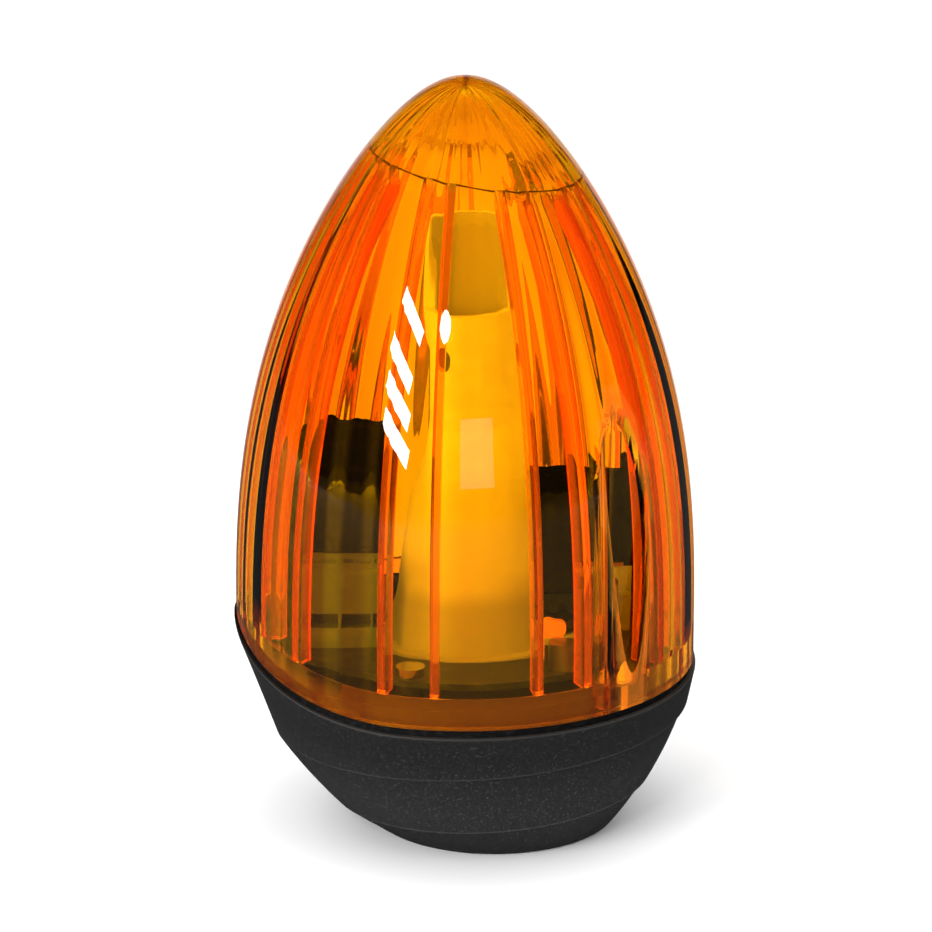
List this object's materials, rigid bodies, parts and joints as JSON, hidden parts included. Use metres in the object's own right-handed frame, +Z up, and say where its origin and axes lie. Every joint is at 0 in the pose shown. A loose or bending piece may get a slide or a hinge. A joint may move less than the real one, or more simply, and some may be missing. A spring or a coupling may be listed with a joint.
{
  "type": "flashing warning light",
  "caption": "Flashing warning light with an egg-shaped amber ribbed lens screwed to a black bowl base, with a frosted light tower inside",
  "frame": {"origin": "on the lens axis, at the level of the underside of the foot", "axes": "+Z up along the lens axis; the bowl and foot lean towards +X and the lens lip sweeps up at -X; -Y is the side shown in the picture"},
  "size_m": [0.1118, 0.1118, 0.185],
  "materials": {
    "amber_lens": "clear amber polycarbonate, glossy",
    "black_shell": "charcoal black satin plastic with a fine speckle",
    "black_rubber": "soft black rubber",
    "screw_steel": "bright zinc-plated steel",
    "brass": "turned brass",
    "frosted_tower": "frosted light diffuser",
    "white_board": "white board lacquer",
    "led_body": "yellow phosphor domes in white bodies",
    "dark_board": "dark solder lacquer",
    "green_block": "green moulded plastic",
    "capacitor_can": "sleeved aluminium cans",
    "brown_case": "brown dipped case",
    "orange_disc": "orange dipped discs",
    "grey_case": "grey moulded case with a metal back",
    "black_panel": "black moulded panel"
  },
  "bodies": {
    "base": {"lens_seal": "black_rubber", "housing": "black_shell", "screw_inserts": "brass", "bowl": "black_shell", "foot": "black_shell", "cable_grommet": "black_rubber", "bowl_screws": "screw_steel", "deck_screws": "screw_steel", "light_tower": "frosted_tower", "tower_screws": "screw_steel", "led_board": "white_board", "leds": "led_body", "control_board": "dark_board", "board_screws": "screw_steel", "terminal_block": "green_block", "terminal_screws": "screw_steel", "capacitors": "capacitor_can", "film_capacitor": "brown_case", "disc_capacitors": "orange_disc", "regulator": "grey_case", "partition": "black_panel", "partition_screws": "screw_steel"},
    "lens_cover": {"lens": "amber_lens"},
    "front_screw": {"lens_screw_front": "screw_steel"},
    "rear_screw": {"lens_screw_rear": "screw_steel"}
  },
  "joints": [
    {"name": "lens_lift", "type": "slide", "parent": "base", "child": "lens_cover", "axis": [0, 0, 1], "range_m": [0, 0.12]},
    {"name": "front_screw_turn", "type": "hinge", "parent": "lens_cover", "child": "front_screw", "pos_m": [0.03581, -0.03519, 0.047], "axis": [0, 0, 1], "continuous": true},
    {"name": "rear_screw_turn", "type": "hinge", "parent": "lens_cover", "child": "rear_screw", "pos_m": [-0.03581, 0.03519, 0.047], "axis": [0, 0, 1], "continuous": true}
  ]
}
